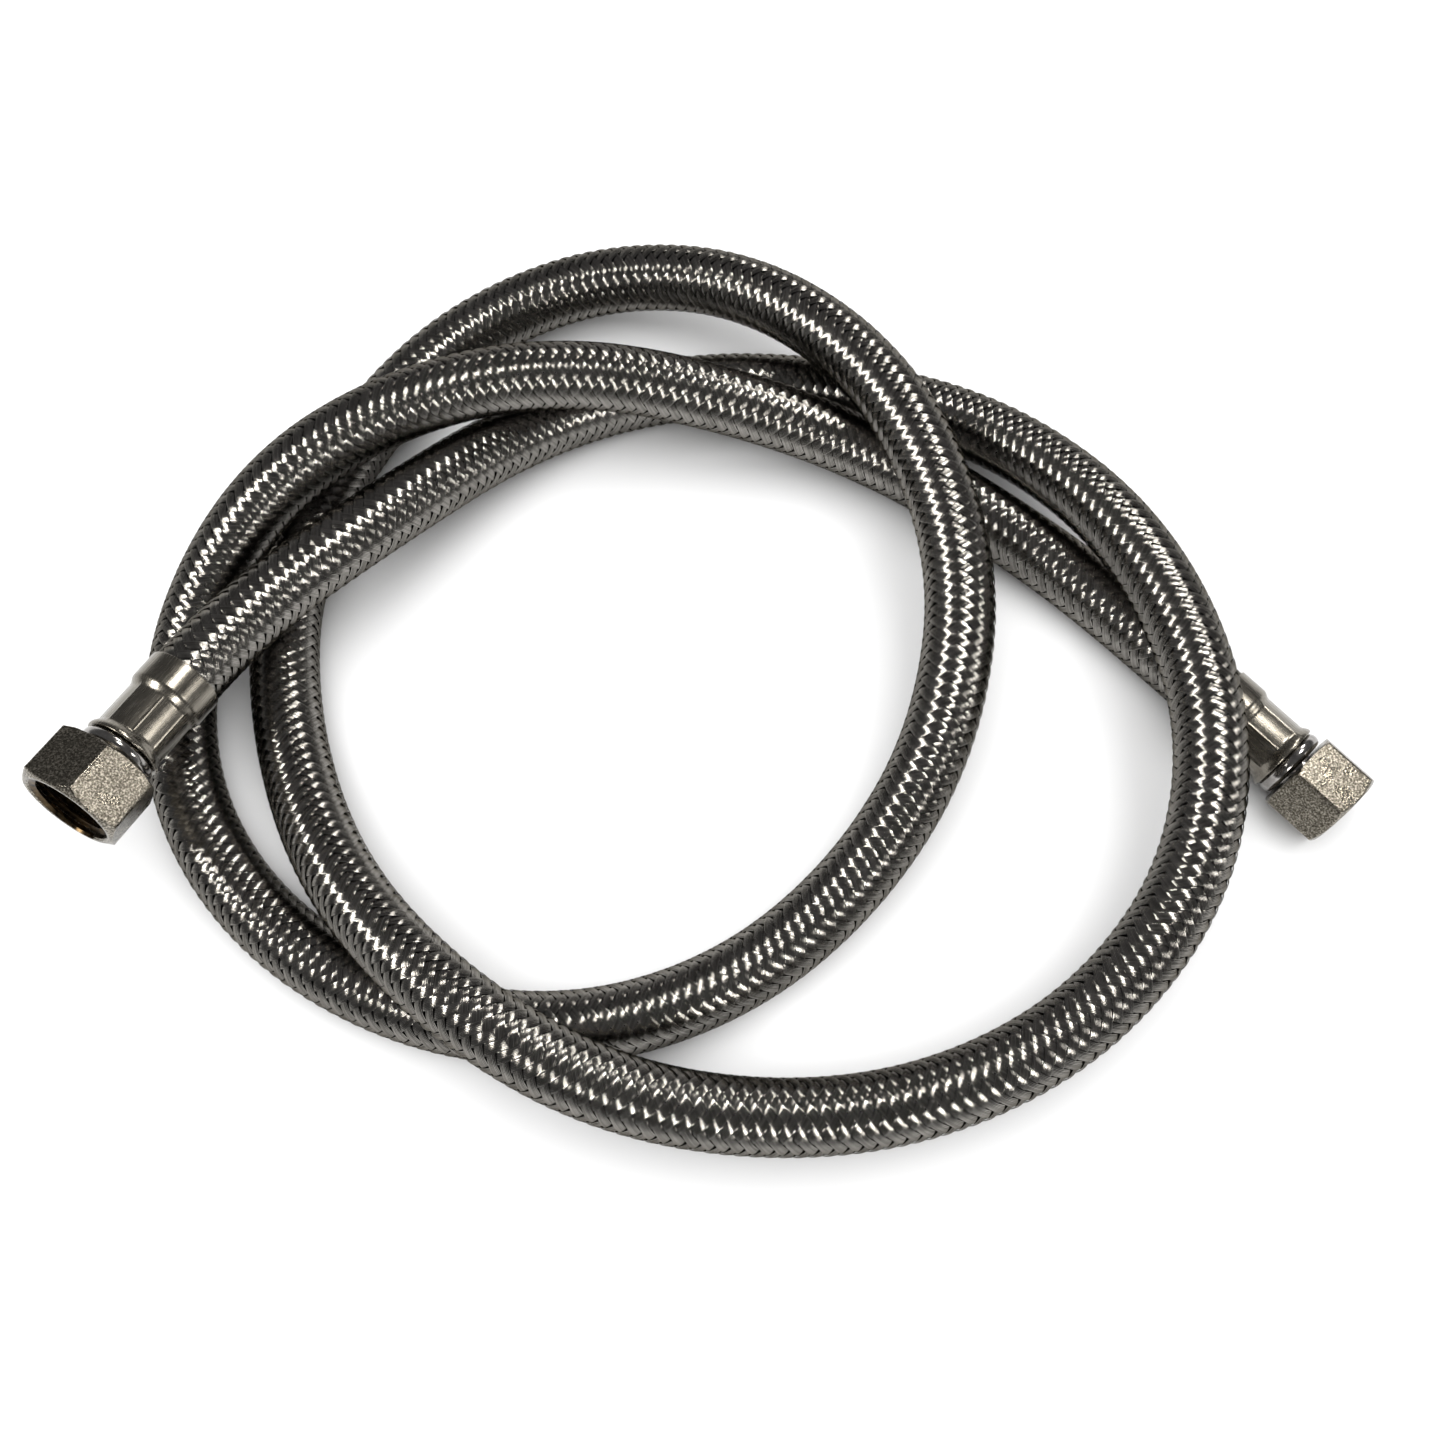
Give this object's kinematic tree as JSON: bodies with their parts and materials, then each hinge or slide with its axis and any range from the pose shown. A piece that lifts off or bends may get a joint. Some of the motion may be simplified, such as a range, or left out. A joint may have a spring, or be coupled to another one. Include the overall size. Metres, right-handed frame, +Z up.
{
  "type": "braided supply line",
  "caption": "Flexible water hose under a woven wire sleeve, lying in loose loops, with a crimped ferrule and a swivel hexagon nut at each end.",
  "frame": {"origin": "on the floor that the hose lies on, under the middle of the loops' bounding box", "axes": "+Z up from the floor, +X along the longer side of the loops from the inlet side to the outlet side, +Y away from the side that both nut mouths face"},
  "size_m": [0.3238, 0.2458, 0.0563],
  "materials": {
    "braid": "woven bright stainless wire",
    "liner": "matt black rubber",
    "ferrule": "satin pressed stainless steel",
    "nipple": "polished nickel plate over brass",
    "nut": "grainy nickel plate over brass",
    "washer": "matt black rubber"
  },
  "bodies": {
    "hose": {"braid_sleeve": "braid", "inner_liner": "liner", "inlet_crimp_ferrule": "ferrule", "inlet_nipple": "nipple", "outlet_crimp_ferrule": "ferrule", "outlet_nipple": "nipple"},
    "inlet_washer": {"inlet_sealing_washer": "washer"},
    "inlet_nut": {"inlet_coupling_nut": "nut"},
    "outlet_washer": {"outlet_sealing_washer": "washer"},
    "outlet_nut": {"outlet_coupling_nut": "nut"}
  },
  "joints": [
    {"name": "inlet_nut_swivel", "type": "hinge", "parent": "hose", "child": "inlet_washer", "pos_m": [-0.14374, -0.03467, 0.04037], "axis": [-0.4685, -0.8518, 0.2343], "continuous": true},
    {"name": "inlet_nut_play", "type": "slide", "parent": "inlet_washer", "child": "inlet_nut", "axis": [-0.4685, -0.8518, 0.2343], "range_m": [-0.0006, 0.0003]},
    {"name": "outlet_nut_swivel", "type": "hinge", "parent": "hose", "child": "outlet_washer", "pos_m": [0.14338, -0.02915, 0.0105], "axis": [0.6823, -0.7311, 0], "continuous": true},
    {"name": "outlet_nut_play", "type": "slide", "parent": "outlet_washer", "child": "outlet_nut", "axis": [0.6823, -0.7311, 0], "range_m": [-0.0006, 0.0003]}
  ]
}
